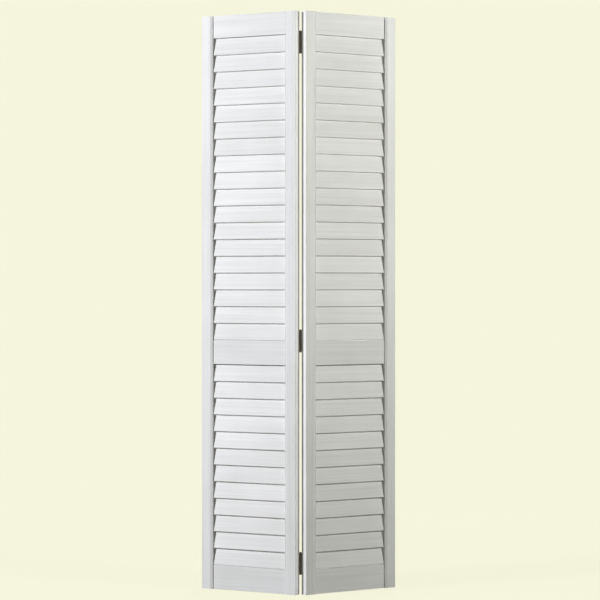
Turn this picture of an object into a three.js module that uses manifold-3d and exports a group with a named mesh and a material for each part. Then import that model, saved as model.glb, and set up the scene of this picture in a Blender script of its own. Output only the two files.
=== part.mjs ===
// A louvred bifold closet door, folded part way into a V with its point towards the room (-Y).
// Two leaves hang together on three surface hinges screwed to their closet side. Each leaf is two
// stiles and three rails, doweled, with fixed slats housed in the stiles. The pivot leaf carries
// the pivots that turn in the door frame, and the lead leaf carries the guide pin for the track.
// Lengths are in millimetres, angles in degrees. Z is up, and the door stands on z = 0.
// Pieces that are glued or driven home are one solid: a rail with its dowels, a hinge plate with
// its screws, and a stile with seven of the upper slats glued into it. The other slats, all of the
// lower ones and the lowest upper ones, are solids of their own.

import * as THREE from 'three';
import { mergeVertices } from 'three/addons/utils/BufferGeometryUtils.js';
import Module from 'manifold-3d';

const wasm = await Module();
wasm.setup();

// Leaf
const doorHeight = 2006.6;
const leafWidth = 374.65;
const leafThickness = 28.6;
const leafGap = 1.6;
const leafTurn = 30.4;
const fitGap = 0.3;
const cutOverrun = 2;

// Stiles, bevelled on both faces along the edge that faces the slats
const stileWidth = 43.3;
const stileEase = 1.5;
const bevelWidth = 8.5;
const bevelDepth = 3.4;

// Rails, set back behind the bevels of the stiles
const railHeight = 84.1;
const topRailHeight = 77.8;
const railThickness = 15.9;
const railEase = 1;

// Slats, fixed, with their lower edge towards the room
const slatWidth = 60.3;
const slatThickness = 6;
const slatEase = 1.1;
const slatTilt = 9;
const slatFrontDepth = 7;
const slatHousing = 9.5;
const upperSlats = 18;
const lowerSlats = 12;
const looseUpperSlats = 4;

// Dowels from the rails into the stiles
const dowelDiameter = 9.5;
const dowelInStile = 12;
const dowelSpread = 44;
const dowelSides = 8;

// Hinges
const hingeHeight = 76.2;
const hingePlateWidth = 23;
const hingePlateThickness = 1.6;
const hingeCorner = 3;
const barrelDiameter = 9.5;
const barrelStandoff = 0.7;
const plateInset = 2.4;
const hingePinDiameter = 4.2;
const hingePinHead = 6.4;
const hingePinHeadHeight = 1.2;
const topHingeDistance = 105;
const bottomHingeDistance = 106;
const knuckleCount = 5;
const barrelSides = 12;

// Hinge screws
const screwHeadDiameter = 7.4;
const screwHeadDepth = 2.2;
const screwHeadProud = 0.5;
const screwShankDiameter = 3.6;
const screwLength = 19;
const screwPointLength = 4;
const screwSpread = 27;
const screwStagger = 4;
const screwSides = 8;

// Spring plungers: the top pivot and the track guide
const pivotInset = 20.6;
const sleeveDiameter = 11.1;
const sleeveWall = 1.3;
const sleeveFloor = 2;
const sleeveLip = 1.6;
const plungerDiameter = 6.35;
const plungerShoulder = 4;
const plungerTravel = 19;
const plungerDome = 1.6;
const tipSetback = 0.5;
const springWire = 0.9;
const springLength = 18;
const springTurns = 7;
const springSteps = 8;
const springSides = 5;
const turnedSides = 12;

// Bottom pivot: a stud that screws out of a sleeve to set the door's height
const studDiameter = 9.5;
const studLength = 52;
const studPointDiameter = 6.5;
const studPointLength = 9;
const studSleeveWall = 1.8;
const studSleeveLength = 34;

// Worked out from the sizes above
const tilt = THREE.MathUtils.degToRad(slatTilt);
const turn = THREE.MathUtils.degToRad(leafTurn);
const barrelRadius = barrelDiameter / 2;
const axisSetback = barrelRadius + barrelStandoff;
const leafStart = leafGap / 2;
const leafEnd = leafStart + leafWidth;
const openingStart = leafStart + stileWidth;
const openingEnd = leafEnd - stileWidth;
const midDepth = leafThickness / 2;
const slatEasedThickness = slatThickness - 2 * slatEase;
const slatEasedWidth = slatWidth - 2 * slatEase;
const slatRise = slatWidth * Math.cos(tilt) + slatEasedThickness * Math.sin(tilt);
const slatRun = Math.max(
  slatThickness * Math.cos(tilt) + slatEasedWidth * Math.sin(tilt),
  slatEasedThickness * Math.cos(tilt) + slatWidth * Math.sin(tilt),
);
const slatDepth = leafThickness - slatFrontDepth - slatRun / 2;
const bankCount = 2;
const slatRoom = doorHeight - 2 * railHeight - topRailHeight - bankCount * (slatRise + 2 * fitGap);
const slatPitch = slatRoom / (upperSlats + lowerSlats - bankCount);
const midRailBase = railHeight + (lowerSlats - 1) * slatPitch + slatRise + 2 * fitGap;
const topRailBase = doorHeight - topRailHeight;
const hingeHeights = {
  bottom: bottomHingeDistance,
  middle: midRailBase + railHeight,
  top: doorHeight - topHingeDistance,
};

const paintedWood = new THREE.MeshStandardMaterial({ color: 0xe6e6e3, roughness: 0.5, metalness: 0 });
const bronze = new THREE.MeshStandardMaterial({ color: 0x45433a, roughness: 0.45, metalness: 0.85 });
const steel = new THREE.MeshStandardMaterial({ color: 0x9a9a98, roughness: 0.4, metalness: 0.9 });
const nylon = new THREE.MeshStandardMaterial({ color: 0xdcdcd6, roughness: 0.45, metalness: 0 });

// Every geometry ends as one indexed closed body whose faces point out.
function closed(geometry) {
  geometry.deleteAttribute('normal');
  geometry.deleteAttribute('uv');
  const merged = mergeVertices(geometry);
  const points = merged.attributes.position;
  const source = merged.index.array;
  const corners = [new THREE.Vector3(), new THREE.Vector3(), new THREE.Vector3()];
  const kept = [];
  let volume = 0;
  for (let i = 0; i < source.length; i += 3) {
    const triangle = [source[i], source[i + 1], source[i + 2]];
    if (new Set(triangle).size < triangle.length) continue;
    kept.push(...triangle);
    triangle.forEach((index, k) => corners[k].fromBufferAttribute(points, index));
    volume += corners[0].dot(corners[1].cross(corners[2]));
  }
  if (volume < 0) {
    for (let i = 0; i < kept.length; i += 3) {
      [kept[i], kept[i + 1]] = [kept[i + 1], kept[i]];
    }
  }
  merged.setIndex(kept);
  return merged;
}

function toManifold(geometry) {
  const vertProperties = new Float32Array(geometry.attributes.position.array);
  const triVerts = new Uint32Array(geometry.index.array);
  return new wasm.Manifold(new wasm.Mesh({ numProp: 3, vertProperties, triVerts }));
}

function toGeometry(manifold) {
  const { vertProperties, triVerts } = manifold.getMesh();
  const geometry = new THREE.BufferGeometry();
  geometry.setAttribute('position', new THREE.BufferAttribute(new Float32Array(vertProperties), 3));
  geometry.setIndex(new THREE.BufferAttribute(new Uint32Array(triVerts), 1));
  return geometry;
}

function joined(solids) {
  return toGeometry(solids.map(toManifold).reduce((all, next) => all.add(next)));
}

function cut(solid, tools) {
  const cutter = tools.map(toManifold).reduce((all, next) => all.add(next));
  return toGeometry(toManifold(solid).subtract(cutter));
}

// Places on a leaf: u runs out from the hinge axis and v forward from the closet-side face.
function depthToY(v) {
  return -(axisSetback + v);
}

function extruded(points, length) {
  const shape = new THREE.Shape(points.map(([p, q]) => new THREE.Vector2(p, q)));
  return new THREE.ExtrudeGeometry(shape, { depth: length, bevelEnabled: false });
}

// A section of [v, z] points, run along the leaf from u0 to u1.
function alongLeaf(side, section, u0, u1) {
  const solid = extruded(section.map(([v, z]) => [depthToY(v), z]), u1 - u0);
  solid.applyMatrix4(new THREE.Matrix4().makeBasis(
    new THREE.Vector3(0, 1, 0),
    new THREE.Vector3(0, 0, 1),
    new THREE.Vector3(1, 0, 0),
  ));
  solid.translate(Math.min(side * u0, side * u1), 0, 0);
  return closed(solid);
}

function lathed(profile, sides) {
  return new THREE.LatheGeometry(profile.map(([r, h]) => new THREE.Vector2(r, h)), sides);
}

// A piece turned about an upright axis: profile points are [radius, z].
function turnedUpright(profile, sides, x = 0, y = 0) {
  const solid = lathed(profile, sides);
  solid.rotateX(Math.PI / 2);
  solid.translate(x, y, 0);
  return closed(solid);
}

// Corner points of a rectangle centred on 0, each corner cut by the same amount.
function easedRectangle(width, height, ease) {
  const x = width / 2;
  const y = height / 2;
  return [
    [x - ease, -y], [x, -y + ease], [x, y - ease], [x - ease, y],
    [-x + ease, y], [-x, y - ease], [-x, -y + ease], [-x + ease, -y],
  ];
}

// Stile section as [a, v]: a runs from the plain edge to the edge that faces the slats.
function stileSection() {
  const front = [
    [0, leafThickness - stileEase],
    [stileEase, leafThickness],
    [stileWidth - bevelWidth, leafThickness],
    [stileWidth, leafThickness - bevelDepth],
  ];
  const back = front.map(([a, v]) => [a, leafThickness - v]).reverse();
  return [...front, ...back];
}

function tilted(outline, height) {
  return outline.map(([p, q]) => [
    slatDepth + p * Math.cos(tilt) - q * Math.sin(tilt),
    height + p * Math.sin(tilt) + q * Math.cos(tilt),
  ]);
}

function slatSection(height) {
  return tilted(easedRectangle(slatThickness, slatWidth, slatEase), height);
}

function housingSection(height) {
  const x = slatThickness / 2 + fitGap;
  const y = slatWidth / 2 + fitGap;
  return tilted([[x, -y], [x, y], [-x, y], [-x, -y]], height);
}

function bankHeights(base, count) {
  const first = base + fitGap + slatRise / 2;
  return Array.from({ length: count }, (_, i) => first + i * slatPitch);
}

const lowerHeights = bankHeights(railHeight, lowerSlats);
const upperHeights = bankHeights(midRailBase + railHeight, upperSlats);
const looseUpperHeights = upperHeights.slice(0, looseUpperSlats);
const gluedHeights = upperHeights.slice(looseUpperSlats);
const halfGlued = Math.ceil(gluedHeights.length / 2);
const outerStileHeights = gluedHeights.slice(0, halfGlued);
const hingeStileHeights = gluedHeights.slice(halfGlued);
const rails = {
  bottom_rail: { base: 0, height: railHeight },
  mid_rail: { base: midRailBase, height: railHeight },
  top_rail: { base: topRailBase, height: topRailHeight },
};

function dowelHeights({ base, height }) {
  const centre = base + height / 2;
  return [centre - dowelSpread / 2, centre + dowelSpread / 2];
}

function dowelAt(side, height, u0, u1, clearance) {
  const radius = dowelDiameter / 2 + clearance;
  const section = Array.from({ length: dowelSides }, (_, i) => {
    const angle = 2 * Math.PI * i / dowelSides;
    return [midDepth + radius * Math.cos(angle), height + radius * Math.sin(angle)];
  });
  return alongLeaf(side, section, u0, u1);
}

function slat(side, height) {
  const reach = slatHousing - fitGap;
  return alongLeaf(side, slatSection(height), openingStart - reach, openingEnd + reach);
}

function rail(side, { base, height }) {
  const section = easedRectangle(railThickness, height, railEase)
    .map(([v, z]) => [midDepth + v, base + height / 2 + z]);
  const bar = alongLeaf(side, section, openingStart + fitGap, openingEnd - fitGap);
  const reach = dowelInStile - fitGap;
  const dowels = dowelHeights({ base, height }).flatMap((dowelHeight) => [
    dowelAt(side, dowelHeight, openingStart - reach, openingStart + cutOverrun, 0),
    dowelAt(side, dowelHeight, openingEnd - cutOverrun, openingEnd + reach, 0),
  ]);
  return joined([bar, ...dowels]);
}

// Hinge plates lie on the closet-side face; their outer face is at plateFace.
const plateFace = depthToY(-fitGap - hingePlateThickness);
const plateStart = plateInset;
const plateEnd = plateStart + hingePlateWidth;
const screwLine = (axisSetback + plateEnd) / 2;

function screwPlaces(hingeMiddle) {
  return [-1, 0, 1].map((row) => [
    screwLine + (row === 0 ? screwStagger / 2 : -screwStagger / 2),
    hingeMiddle + row * screwSpread,
  ]);
}

function screwAt(side, [u, height], clearance) {
  const head = screwHeadDiameter / 2;
  const shank = screwShankDiameter / 2 + clearance;
  const end = -screwLength - clearance;
  const profile = clearance > 0
    ? [[0, end], [shank, end], [shank, cutOverrun], [0, cutOverrun]]
    : [
      [0, end], [shank, end + screwPointLength], [shank, -screwHeadDepth], [head, 0],
      [head / 2, screwHeadProud], [0, screwHeadProud],
    ];
  const screw = lathed(profile, screwSides);
  screw.translate(side * u, plateFace, height);
  return closed(screw);
}

// The countersunk head reaches a little way into the stile behind the plate.
function headSeat(side, [u, height]) {
  const head = screwHeadDiameter / 2 + fitGap;
  const floor = -screwHeadDepth - fitGap;
  const seat = lathed([[0, floor], [head, floor], [head, cutOverrun], [0, cutOverrun]], screwSides);
  seat.translate(side * u, plateFace, height);
  return closed(seat);
}

const pivotU = leafEnd - pivotInset;

function onPivotLine(side, profile) {
  return turnedUpright(profile, turnedSides, side * pivotU, depthToY(midDepth));
}

function stile(side, isHingeStile) {
  const section = stileSection().map(([a, v]) => [
    side * (isHingeStile ? leafStart + a : leafEnd - a),
    depthToY(v),
  ]);
  const blank = closed(extruded(section, doorHeight));
  const glued = isHingeStile ? hingeStileHeights : outerStileHeights;
  const others = isHingeStile ? outerStileHeights : hingeStileHeights;
  const loose = [...lowerHeights, ...looseUpperHeights, ...others];
  const reachIn = (depth) => (isHingeStile
    ? [openingStart - depth, openingStart + cutOverrun]
    : [openingEnd - cutOverrun, openingEnd + depth]);
  const tools = [
    ...loose.map((height) => alongLeaf(side, housingSection(height), ...reachIn(slatHousing))),
    ...Object.values(rails).flatMap(dowelHeights).map((height) => (
      dowelAt(side, height, ...reachIn(dowelInStile), fitGap))),
  ];
  if (isHingeStile) {
    Object.values(hingeHeights).flatMap(screwPlaces).forEach((place) => {
      tools.push(screwAt(side, place, fitGap), headSeat(side, place));
    });
  } else {
    tools.push(onPivotLine(side, plungerBoreProfile()));
    if (side === pivotSide) tools.push(onPivotLine(side, studBoreProfile()));
  }
  return joined([cut(blank, tools), ...glued.map((height) => slat(side, height))]);
}

function barrel(radius, z0, z1) {
  return turnedUpright([[0, z0], [radius, z0], [radius, z1], [0, z1]], barrelSides);
}

function hingePlate(side, hingeMiddle, firstKnuckle) {
  const base = hingeMiddle - hingeHeight / 2;
  const knuckleLength = hingeHeight / knuckleCount;
  const outline = [
    [plateStart, 0], [plateEnd - hingeCorner, 0], [plateEnd, hingeCorner],
    [plateEnd, hingeHeight - hingeCorner], [plateEnd - hingeCorner, hingeHeight],
    [plateStart, hingeHeight],
  ].map(([u, z]) => [side * u, base + z]);
  const flat = extruded(outline, hingePlateThickness);
  flat.applyMatrix4(new THREE.Matrix4().makeBasis(
    new THREE.Vector3(1, 0, 0),
    new THREE.Vector3(0, 0, 1),
    new THREE.Vector3(0, -1, 0),
  ));
  flat.translate(0, plateFace, 0);
  const solids = [closed(flat)];
  const tools = [barrel(
    hingePinDiameter / 2 + fitGap,
    base - cutOverrun,
    base + hingeHeight + cutOverrun,
  )];
  for (let k = 0; k < knuckleCount; k += 1) {
    const own = k % 2 === firstKnuckle;
    const inset = own ? fitGap / 2 : -fitGap / 2;
    const low = base + k * knuckleLength + (k === 0 ? 0 : inset);
    const high = base + (k + 1) * knuckleLength - (k === knuckleCount - 1 ? 0 : inset);
    if (own) {
      solids.push(barrel(barrelRadius, low, high));
    } else {
      const under = k === 0 ? cutOverrun : 0;
      const over = k === knuckleCount - 1 ? cutOverrun : 0;
      tools.push(barrel(barrelRadius + 2 * fitGap, low - under, high + over));
    }
  }
  const screws = screwPlaces(hingeMiddle).map((place) => screwAt(side, place, 0));
  return joined([cut(joined(solids), tools), ...screws]);
}

function hingePin(hingeMiddle) {
  const half = hingeHeight / 2 + fitGap;
  const radius = hingePinDiameter / 2;
  const head = hingePinHead / 2;
  return turnedUpright([
    [0, -half - hingePinHeadHeight], [head, -half - hingePinHeadHeight], [head, -half],
    [radius, -half], [radius, half], [head, half],
    [head, half + hingePinHeadHeight], [0, half + hingePinHeadHeight],
  ].map(([r, h]) => [r, hingeMiddle + h]), barrelSides);
}

// Spring plunger, pushed in: the spring lies between the sleeve's floor and the plunger's shoulder.
const sleeveTop = doorHeight - fitGap;
const sleeveBore = sleeveDiameter / 2 - sleeveWall;
const shoulderTop = sleeveTop - sleeveLip - fitGap - plungerTravel;
const shoulderBase = shoulderTop - plungerShoulder;
const springBase = shoulderBase - fitGap - springLength;
const sleeveBase = springBase - fitGap - sleeveFloor;

function plungerBoreProfile() {
  const radius = sleeveDiameter / 2 + fitGap;
  const base = sleeveBase - fitGap;
  const top = doorHeight + cutOverrun;
  return [[0, base], [radius, base], [radius, top], [0, top]];
}

function plungerSleeve(side) {
  const outer = sleeveDiameter / 2;
  const lip = plungerDiameter / 2 + fitGap;
  return onPivotLine(side, [
    [0, sleeveBase], [outer, sleeveBase], [outer, sleeveTop], [lip, sleeveTop],
    [lip, sleeveTop - sleeveLip], [sleeveBore, sleeveTop - sleeveLip],
    [sleeveBore, sleeveBase + sleeveFloor], [0, sleeveBase + sleeveFloor],
  ]);
}

function plunger(side) {
  const rod = plungerDiameter / 2;
  const shoulder = sleeveBore - fitGap;
  const tip = doorHeight - tipSetback;
  return onPivotLine(side, [
    [0, shoulderBase], [shoulder, shoulderBase], [shoulder, shoulderTop], [rod, shoulderTop],
    [rod, tip - plungerDome], [rod - plungerDome, tip], [0, tip],
  ]);
}

class Helix extends THREE.Curve {
  constructor(radius, rise, turns) {
    super();
    this.radius = radius;
    this.rise = rise;
    this.turns = turns;
  }

  getPoint(t, target = new THREE.Vector3()) {
    const angle = 2 * Math.PI * this.turns * t;
    return target.set(this.radius * Math.cos(angle), this.radius * Math.sin(angle), this.rise * t);
  }
}

const springPath = new Helix(
  sleeveBore - fitGap - springWire / 2,
  springLength - springWire,
  springTurns,
);

// The least gap between neighbouring curls, measured on points along the wire.
function springSelfGap() {
  const count = springTurns * springSteps;
  const points = Array.from({ length: count + 1 }, (_, i) => springPath.getPoint(i / count));
  let least = Infinity;
  points.forEach((a, i) => points.slice(i + springSteps / 2).forEach((b) => {
    least = Math.min(least, a.distanceTo(b) - springWire);
  }));
  return least;
}

function plungerSpring(side) {
  const section = Array.from({ length: springSides }, (_, i) => {
    const angle = 2 * Math.PI * i / springSides;
    return new THREE.Vector2(springWire / 2 * Math.cos(angle), springWire / 2 * Math.sin(angle));
  });
  const solid = new THREE.ExtrudeGeometry(new THREE.Shape(section), {
    steps: springTurns * springSteps,
    extrudePath: springPath,
    bevelEnabled: false,
  });
  solid.translate(side * pivotU, depthToY(midDepth), springBase + springWire / 2);
  return closed(solid);
}

// Bottom pivot, screwed right in: its point ends just inside the foot of the stile.
const studRadius = studDiameter / 2;
const studSleeveRadius = studRadius + fitGap + studSleeveWall;
const studSleeveTop = fitGap + studSleeveLength;
const studTop = tipSetback + studLength;

function studBoreProfile() {
  const wide = studSleeveRadius + fitGap;
  const narrow = studRadius + fitGap;
  const step = studSleeveTop + fitGap;
  return [
    [0, -cutOverrun], [wide, -cutOverrun], [wide, step], [narrow, step],
    [narrow, studTop + fitGap], [0, studTop + fitGap],
  ];
}

function studSleeve(side) {
  const inner = studRadius + fitGap;
  return onPivotLine(side, [
    [inner, fitGap], [studSleeveRadius, fitGap], [studSleeveRadius, studSleeveTop],
    [inner, studSleeveTop], [inner, fitGap],
  ]);
}

function stud(side) {
  const point = studPointDiameter / 2;
  const shoulder = studRadius - point;
  const neck = tipSetback + studPointLength;
  return onPivotLine(side, [
    [0, tipSetback], [point - shoulder, tipSetback], [point, tipSetback + shoulder],
    [point, neck], [studRadius, neck + shoulder], [studRadius, studTop], [0, studTop],
  ]);
}

function addNode(group, name, geometry, material) {
  const mesh = new THREE.Mesh(geometry, material);
  mesh.name = name;
  group.add(mesh);
}

function addLeaf(group, side, leafName, outerStileName) {
  addNode(group, `${leafName}_${outerStileName}`, stile(side, false), paintedWood);
  addNode(group, `${leafName}_hinge_stile`, stile(side, true), paintedWood);
  Object.entries(rails).forEach(([railName, place]) => {
    addNode(group, `${leafName}_${railName}`, rail(side, place), paintedWood);
  });
  Object.entries({ lower: lowerHeights, upper: looseUpperHeights }).forEach(([bank, heights]) => {
    heights.forEach((height, i) => {
      const label = String(i + 1).padStart(2, '0');
      addNode(group, `${leafName}_${bank}_slat_${label}`, slat(side, height), paintedWood);
    });
  });
}

function addPlunger(group, side, name) {
  addNode(group, `${name}_sleeve`, plungerSleeve(side), nylon);
  addNode(group, `${name}_spring`, plungerSpring(side), steel);
  addNode(group, `${name}_plunger`, plunger(side), nylon);
}

const pivotSide = -1;
const leadSide = 1;

const pivotLeaf = new THREE.Group();
addLeaf(pivotLeaf, pivotSide, 'pivot_leaf', 'jamb_stile');
addPlunger(pivotLeaf, pivotSide, 'top_pivot');
addNode(pivotLeaf, 'bottom_pivot_sleeve', studSleeve(pivotSide), nylon);
addNode(pivotLeaf, 'bottom_pivot_stud', stud(pivotSide), steel);
pivotLeaf.rotation.z = pivotSide * turn;

const leadLeaf = new THREE.Group();
addLeaf(leadLeaf, leadSide, 'lead_leaf', 'lead_stile');
addPlunger(leadLeaf, leadSide, 'track_guide');
leadLeaf.rotation.z = leadSide * turn;

Object.entries(hingeHeights).forEach(([name, height]) => {
  addNode(pivotLeaf, `${name}_hinge_pivot_leaf_plate`, hingePlate(pivotSide, height, 0), bronze);
  addNode(leadLeaf, `${name}_hinge_lead_leaf_plate`, hingePlate(leadSide, height, 1), bronze);
  addNode(pivotLeaf, `${name}_hinge_pin`, hingePin(height), bronze);
});
console.log(`least gap between curls of a plunger spring: ${springSelfGap().toFixed(2)} mm`);

// The origin is under the middle of the door's outline.
const door = new THREE.Group();
door.add(pivotLeaf, leadLeaf);
door.updateMatrixWorld(true);
const middle = new THREE.Box3().setFromObject(door, true).getCenter(new THREE.Vector3());
door.position.set(-middle.x, -middle.y, 0);
door.updateMatrixWorld(true);

export default door;
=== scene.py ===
"""A closet door of two louvred leaves, folded into a V: pieces, finishes, lights and camera."""
import math

import bmesh
import bpy
from mathutils import Matrix, Vector


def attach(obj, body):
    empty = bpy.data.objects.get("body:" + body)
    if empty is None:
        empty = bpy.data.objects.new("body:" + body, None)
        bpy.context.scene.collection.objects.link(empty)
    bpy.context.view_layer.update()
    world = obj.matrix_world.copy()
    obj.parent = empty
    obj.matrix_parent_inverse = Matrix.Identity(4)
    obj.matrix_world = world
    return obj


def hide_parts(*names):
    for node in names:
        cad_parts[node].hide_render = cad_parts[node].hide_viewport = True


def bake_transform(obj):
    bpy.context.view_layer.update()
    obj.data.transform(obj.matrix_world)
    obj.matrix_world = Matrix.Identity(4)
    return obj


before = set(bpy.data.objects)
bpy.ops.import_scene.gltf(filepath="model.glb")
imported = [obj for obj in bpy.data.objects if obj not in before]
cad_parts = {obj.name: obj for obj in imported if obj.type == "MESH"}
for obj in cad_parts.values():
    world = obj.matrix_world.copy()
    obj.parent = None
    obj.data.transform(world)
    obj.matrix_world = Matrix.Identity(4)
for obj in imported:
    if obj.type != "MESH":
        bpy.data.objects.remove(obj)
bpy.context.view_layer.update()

# Sizes in millimetres on one leaf: along it from the fold, in from its closet face, and up. FIT is
# the play between pieces.
MM = 0.001
FIT = 0.3

# Sides of a round piece, and of a small one.
ROUND_STEPS = 32
SMALL_ROUND_STEPS = 24

# Each leaf, with its side of the fold. The hinge pins' axis stands at FOLD_Y in the frame, and the
# closet faces lie CLOSET_FACE from it.
LEAVES = {"pivot_leaf": -1, "lead_leaf": 1}
FOLD_HALF = math.radians(30.4)
FOLD_Y = -78.16296
CLOSET_FACE = 5.45

# Stiles, and the opening between them. The quirk is a fine groove in the bevel of a hinge stile.
DOOR_HEIGHT = 2006.6
LEAF_THICKNESS = 28.6
MID_DEPTH = LEAF_THICKNESS / 2
STILE_WIDTH = 43.3
LEAF_START = 0.8
LEAF_END = 375.45
STILE_EASE = 2.1
BEVEL_WIDTH = 8.5
BEVEL_DEPTH = 3.4
BEVEL_EASE = 0.4
QUIRK_FROM_EDGE = 0.8
QUIRK_WIDTH = 1.7
QUIRK_DEPTH = 1.7
OPENING = (LEAF_START + STILE_WIDTH, LEAF_END - STILE_WIDTH)

# Rails, with the fine joint at their eased shoulders.
RAIL_HEIGHT = 84.1
TOP_RAIL_HEIGHT = 77.8
RAIL_THICKNESS = 15.9
RAIL_EASE = 1.0
JOINT = 0.3
SHOULDER_EASE = 0.7

# Slats. SLAT_EASE is the small arris that their housings are cut to, SLAT_ROUNDING the rounder one
# that shows. The last count is of upper slats that are pieces of their own in the frame.
SLAT_WIDTH = 60.3
SLAT_THICKNESS = 6.0
SLAT_EASE = 1.1
SLAT_ROUNDING = 1.9
SLAT_TILT = math.radians(9)
SLAT_TURN = math.pi / 2 + SLAT_TILT
SLAT_FRONT = 7.0
SLAT_HOUSING = 9.2
SLAT_ENDS = (OPENING[0] - SLAT_HOUSING, OPENING[1] + SLAT_HOUSING)
SLAT_WOBBLE = math.radians(0.3)
SLAT_SEED = 11
LOWER_SLATS = 12
UPPER_SLATS = 18
LOOSE_UPPER = 4

# Worked out: the slats fill both openings at one pitch, and the mid rail stands where the lower
# ones end.
SLAT_RISE = (SLAT_WIDTH * math.cos(SLAT_TILT)
             + (SLAT_THICKNESS - 2 * SLAT_EASE) * math.sin(SLAT_TILT))
SLAT_RUN = (SLAT_THICKNESS * math.cos(SLAT_TILT)
            + (SLAT_WIDTH - 2 * SLAT_EASE) * math.sin(SLAT_TILT))
SLAT_DEPTH = LEAF_THICKNESS - SLAT_FRONT - SLAT_RUN / 2
SLAT_PITCH = ((DOOR_HEIGHT - 2 * RAIL_HEIGHT - TOP_RAIL_HEIGHT - 2 * (SLAT_RISE + 2 * FIT))
              / (LOWER_SLATS + UPPER_SLATS - 2))
MID_RAIL = RAIL_HEIGHT + (LOWER_SLATS - 1) * SLAT_PITCH + SLAT_RISE + 2 * FIT
LOWEST_SLAT = RAIL_HEIGHT + FIT + SLAT_RISE / 2
LOWEST_UPPER_SLAT = MID_RAIL + LOWEST_SLAT
RAILS = {"bottom_rail": (0.0, RAIL_HEIGHT), "mid_rail": (MID_RAIL, RAIL_HEIGHT),
         "top_rail": (DOOR_HEIGHT - TOP_RAIL_HEIGHT, TOP_RAIL_HEIGHT)}

# Hinges: the height of each one's middle, the plates, which lie outside the closet face, the
# knuckles and the pin.
HINGES = {"bottom": 106.0, "middle": MID_RAIL + RAIL_HEIGHT, "top": 1901.6}
HINGE_HEIGHT = 76.2
PLATE_FACES = (-1.9, -0.3)
PLATE_ENDS = (2.4, 25.4)
PLATE_CORNER = 3.0
PLATE_EDGE = 0.2
KNUCKLES = 5
KNUCKLE_PAST_END = 3.0
BARREL_RADIUS = 4.75
PIN_RADIUS = 2.1
PIN_HEAD_RADIUS = 3.2
PIN_HEAD_RISE = 1.2

# The sheet rolled round the pin, in degrees, and the corners where it comes off the plate.
ROLL_START = -90.0
ROLL_END = -403.0
ROLL_SEAM = -48.4
ROLL_STEPS = 30
ROLL_FOOT = ((3.156, -3.55), (9.0, -3.55), (9.0, -5.15), (2.4, -5.1), (1.2, -4.95))

# Screws, their countersinks and their recesses.
SCREW_LINE = 15.425
SCREW_SPREAD = 27.0
SCREW_STAGGER = 4.0
SCREW_SEED = 5
SCREW_HEAD = 3.7
SCREW_DOME = 0.5
SCREW_SINK = 2.2
SCREW_SHANK = 1.7
SCREW_LENGTH = 17.0
SCREW_POINT = 4.0
SINK_PLAY = 0.25
HOLE_PLAY = 0.4
RECESS_REACH = 1.9
RECESS_HALF_WIDTH = 0.45
RECESS_DEPTH = 1.3
RECESS_TAPER = 0.45

# Pivots and track guide. Ends are the heights of a piece's foot and head. The plunger's shoulder
# and the stud's point are each a radius and a height, and the tip is its chamfer, across and up.
PIVOT_LINE = 354.85
SLEEVE_RADIUS = 5.55
SLEEVE_BORE = 4.25
SLEEVE_LIP = 1.6
SLEEVE_FLOOR = 2.0
SLEEVE_ENDS = (1960.8, 2006.3)
SLEEVE_EDGE = 0.3
SPRING_ENDS = (1963.1, 1981.1)
SPRING_WIRE = 0.9
SPRING_TURNS = 7
PLUNGER_RADIUS = 3.175
PLUNGER_SHOULDER = (3.95, 4.0)
PLUNGER_DOME = 2.2
PLUNGER_ENDS = (1981.4, 2006.1)
PLUNGER_EDGE = 0.25
STUD_ENDS = (0.5, 52.5)
STUD_RADIUS = 4.75
STUD_POINT = (3.25, 9.0)
STUD_TIP = (1.2, 1.5)
STUD_CHAMFER = 0.4
STUD_SLEEVE_BORE = 5.05
STUD_SLEEVE_RADIUS = 6.85
STUD_SLEEVE_ENDS = (0.3, 34.3)
THREAD_PITCH = 1.6
THREAD_DEPTH = 0.8
THREAD_MARGIN = 1.0
THREAD_ROWS = 6


# Making: meshes in a leaf's own metres, and nodes.
def add_node(tree, kind, inputs=None, **settings):
    """One node with its settings; an input is given a value, or the socket that feeds it."""
    made = tree.nodes.new(kind)
    for name, value in settings.items():
        setattr(made, name, value)
    for name, value in (inputs or {}).items():
        if isinstance(value, bpy.types.NodeSocket):
            tree.links.new(value, made.inputs[name])
        else:
            made.inputs[name].default_value = value
    return made


def linked(data, name="working"):
    """An object in the scene that holds the mesh, light or camera."""
    made = bpy.data.objects.new(name, data)
    bpy.context.scene.collection.objects.link(made)
    return made


def evaluated(working):
    """The plain mesh that an object's modifiers give; the object goes."""
    graph = bpy.context.evaluated_depsgraph_get()
    mesh = bpy.data.meshes.new_from_object(working.evaluated_get(graph))
    bpy.data.objects.remove(working)
    return mesh


def worked(mesh, *steps):
    """The mesh after modifiers, each a kind and its settings."""
    working = linked(mesh)
    for kind, settings in steps:
        modifier = working.modifiers.new(kind.lower(), kind)
        for name, value in settings.items():
            setattr(modifier, name, value)
    return evaluated(working)


def combined(mesh, operation, other, **settings):
    """The mesh with another one cut from it or joined to it."""
    tool = linked(other)
    mesh = worked(mesh, ("BOOLEAN", {"operation": operation, "solver": "EXACT", "object": tool,
                                     **settings}))
    bpy.data.objects.remove(tool)
    return mesh


def mesh_of(form):
    """A mesh from a bmesh, with its doubles merged and its faces turned outwards."""
    bmesh.ops.remove_doubles(form, verts=form.verts, dist=1e-7)
    bmesh.ops.recalc_face_normals(form, faces=form.faces)
    mesh = bpy.data.meshes.new("worked")
    form.to_mesh(mesh)
    form.free()
    return mesh


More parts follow.
